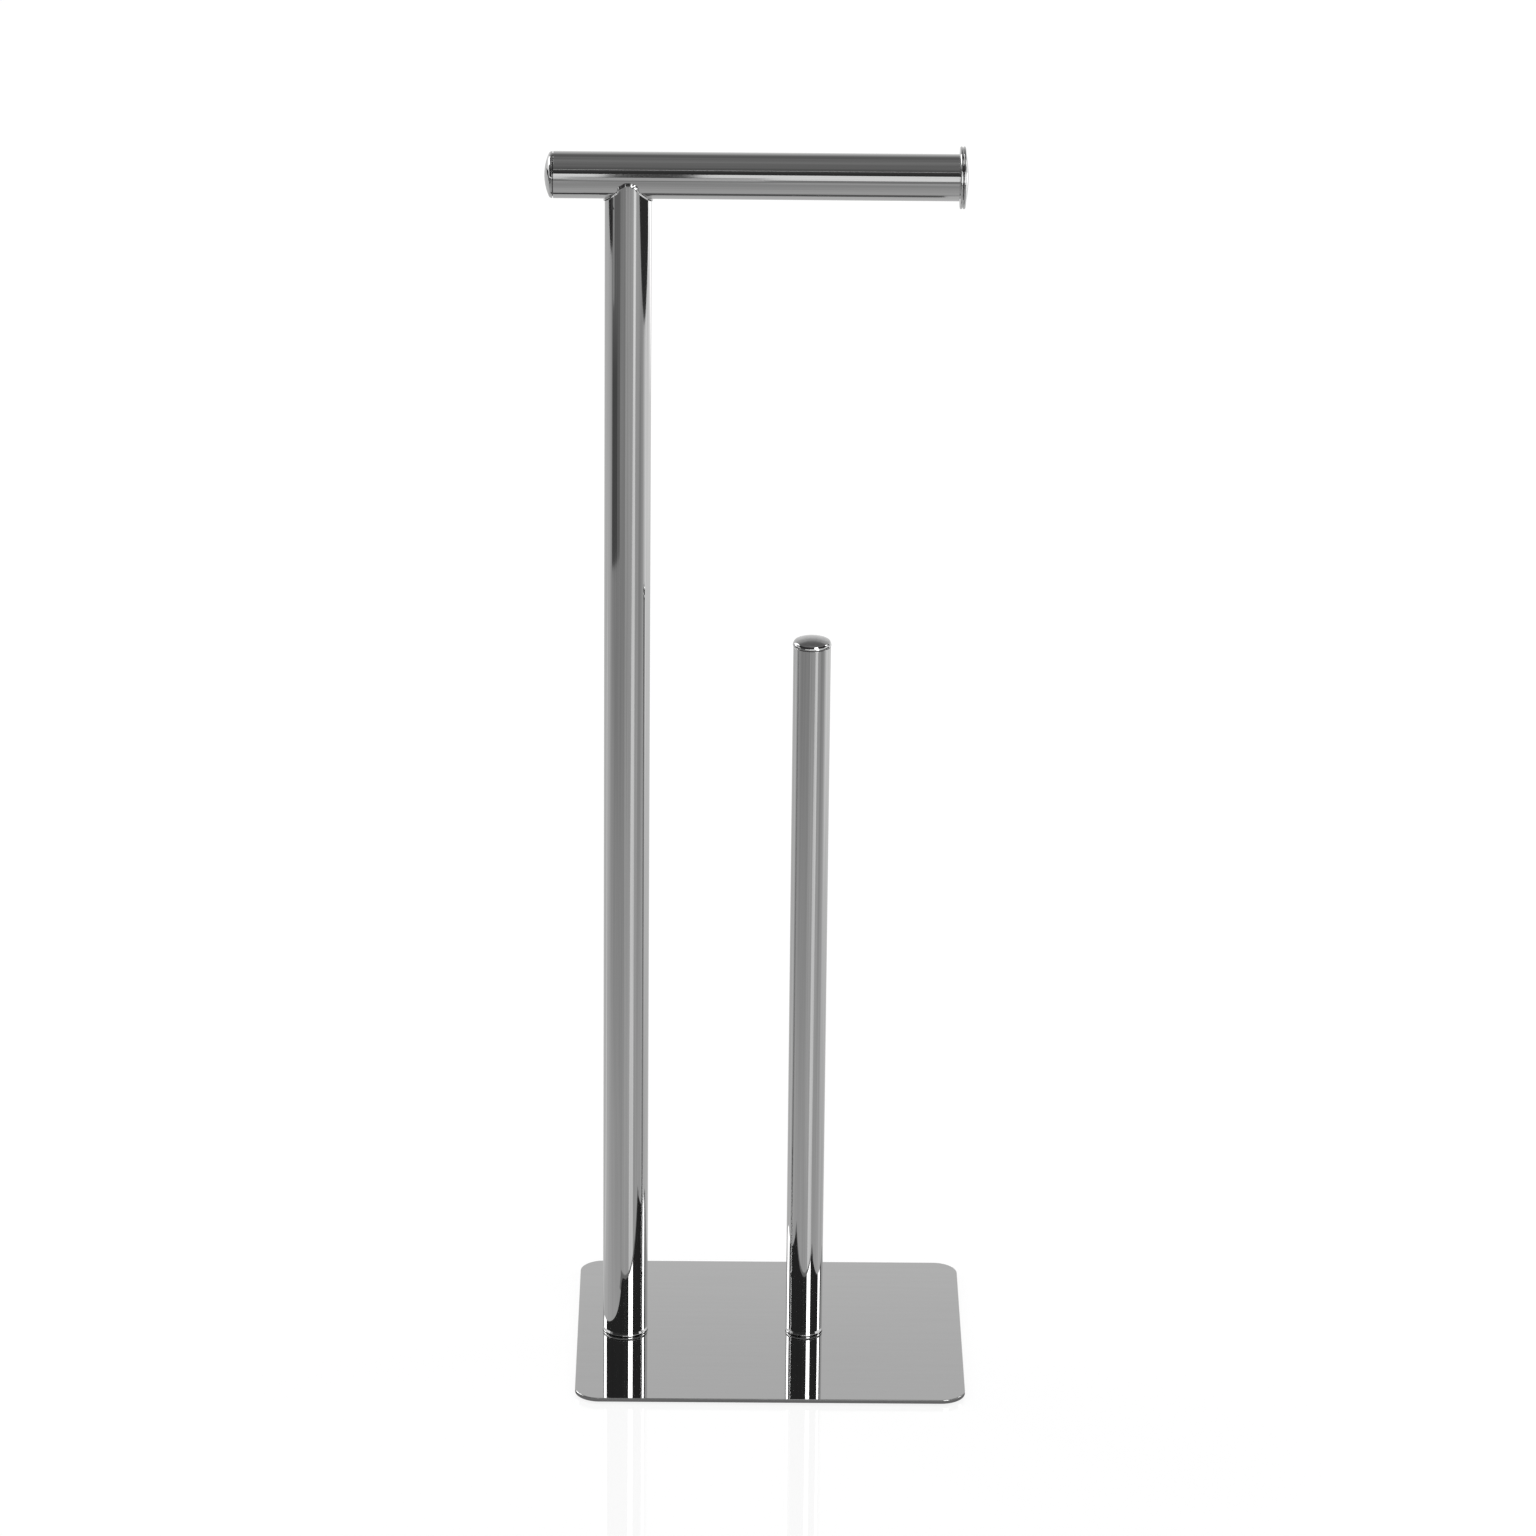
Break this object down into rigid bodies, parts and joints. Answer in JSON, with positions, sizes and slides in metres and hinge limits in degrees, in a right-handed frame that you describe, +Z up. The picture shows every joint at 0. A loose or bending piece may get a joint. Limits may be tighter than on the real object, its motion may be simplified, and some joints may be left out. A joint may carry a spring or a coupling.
{
  "type": "toilet roll stand",
  "caption": "Free-standing chromed toilet roll stand: flat base plate, tall post with a welded horizontal arm ending in a round flange, and a shorter post for spare rolls.",
  "frame": {"origin": "on the floor, at the centre of the underside of the anti-slip mat, under the middle of the base plate", "axes": "+X along the arm from the post to its flange, +Y to the back, +Z up"},
  "size_m": [0.2057, 0.16, 0.6102],
  "materials": {
    "mirror_chrome": "bright chromium plate on polished steel tube and sheet",
    "cap_chrome": "bright chromium plate on turned and pressed fittings",
    "weld_chrome": "chromium plate over a dressed weld bead, slightly rippled",
    "zinc_screw": "bright zinc plate",
    "mat_foam": "matt closed-cell foam"
  },
  "bodies": {
    "root": {"base_plate": "mirror_chrome", "anti_slip_mat": "mat_foam", "main_post": "mirror_chrome", "arm_tube": "mirror_chrome", "saddle_weld": "weld_chrome", "arm_end_cap": "cap_chrome", "arm_flange_ring": "cap_chrome", "arm_flange_cap": "cap_chrome", "spare_post": "mirror_chrome", "spare_post_cap": "cap_chrome", "main_foot_plug": "cap_chrome", "spare_foot_plug": "cap_chrome", "main_foot_screw": "zinc_screw", "spare_foot_screw": "zinc_screw"}
  },
  "joints": []
}
